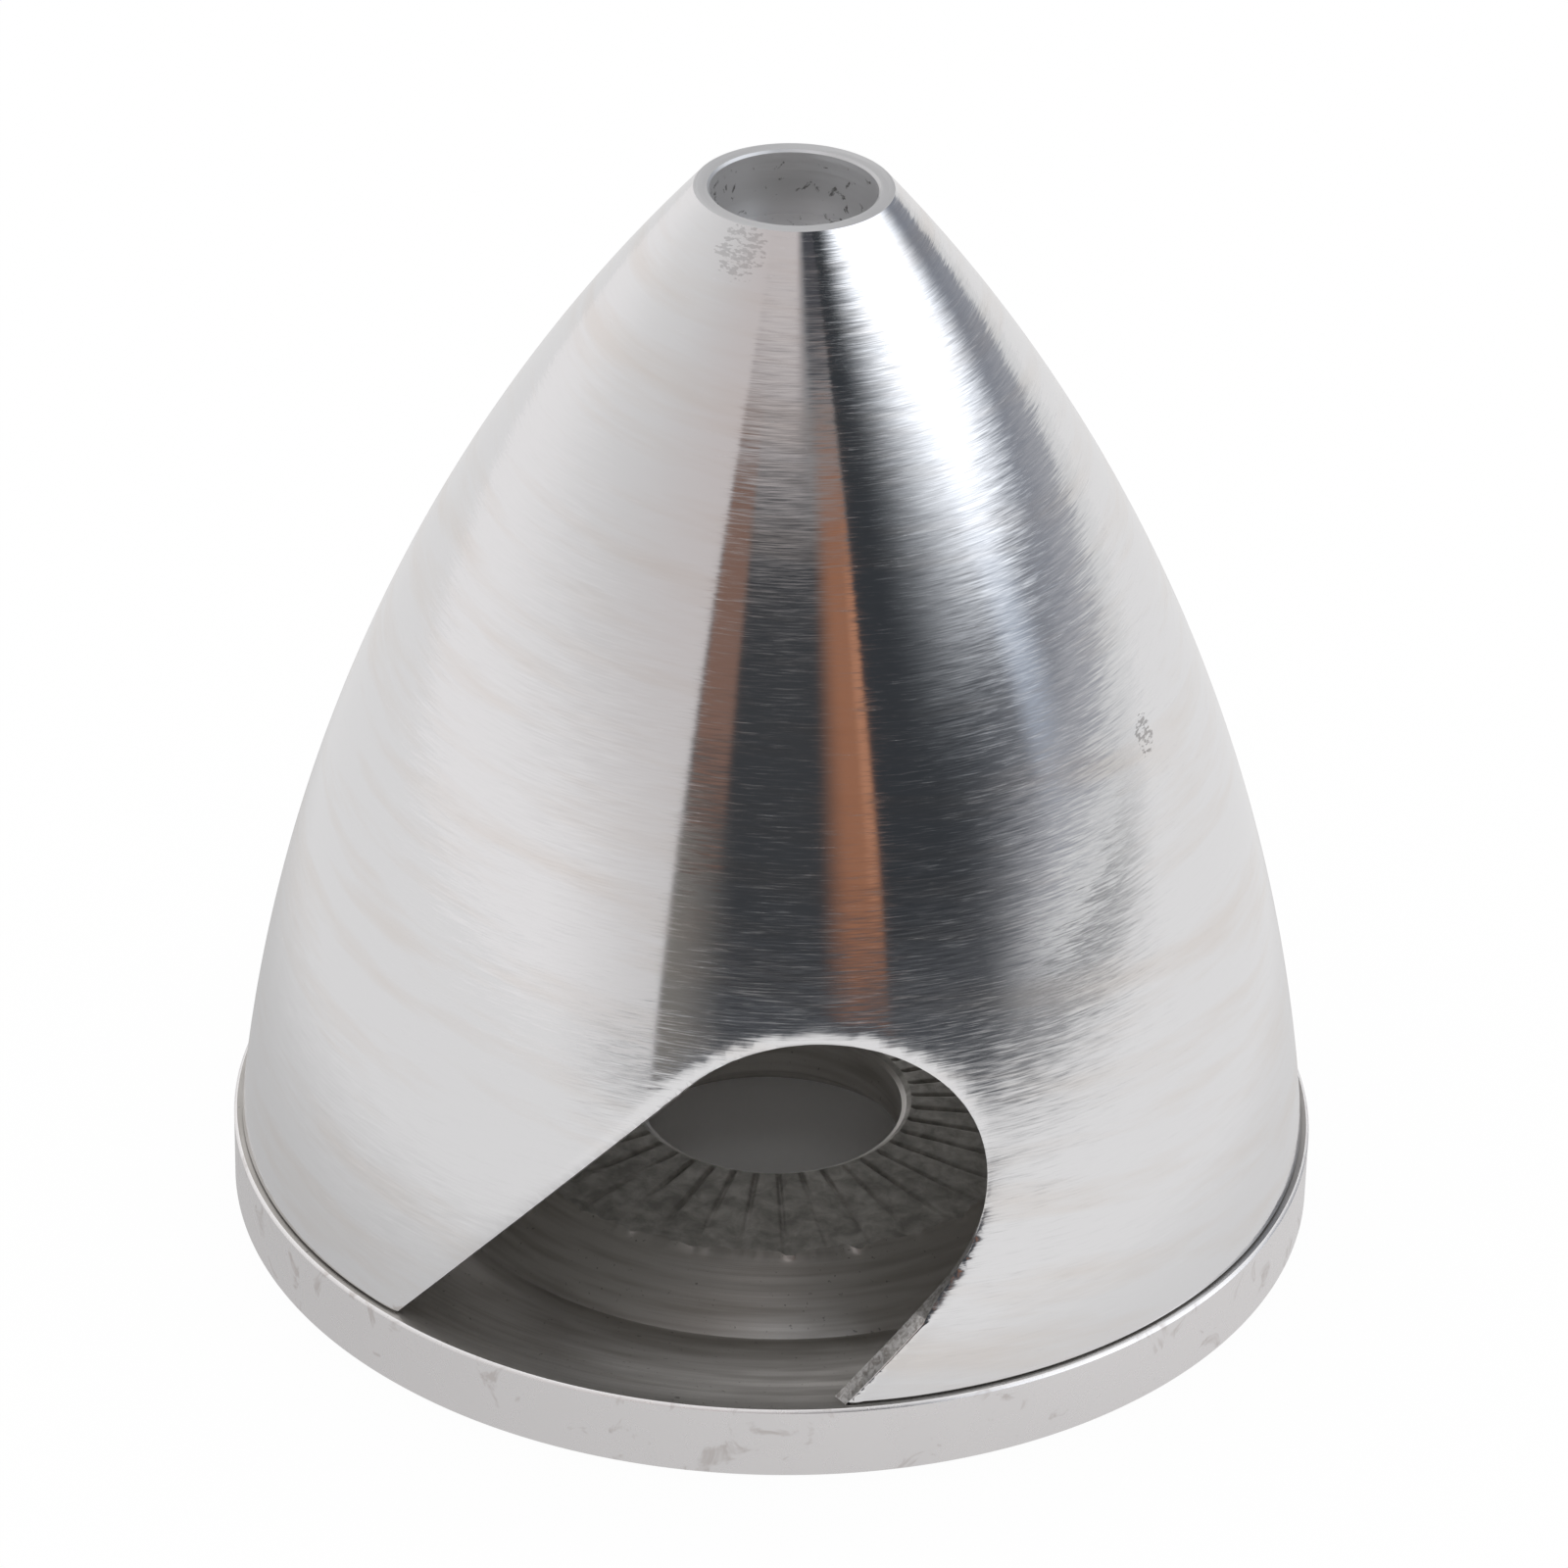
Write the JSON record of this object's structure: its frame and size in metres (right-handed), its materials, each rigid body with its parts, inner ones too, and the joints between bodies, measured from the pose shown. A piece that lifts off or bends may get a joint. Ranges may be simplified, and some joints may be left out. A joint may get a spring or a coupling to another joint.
{
  "type": "propeller spinner",
  "caption": "Pointed aluminium propeller spinner: a thin turned cone with slanted blade cut-outs and an open screw pocket in its nose, resting on a dished backplate with a serrated drive face.",
  "frame": {"origin": "centre of the backplate's rear face, on the shaft axis", "axes": "+Z along the shaft axis, from the rear face to the nose; the first blade cut-out faces -Y"},
  "size_m": [0.057, 0.057, 0.0576],
  "materials": {
    "turned_backplate": "fine turned, satin",
    "polished_cone": "polished by hand round the axis, fine scratches"
  },
  "bodies": {
    "root": {"backplate": "turned_backplate", "spinner_cone": "polished_cone"}
  },
  "joints": []
}
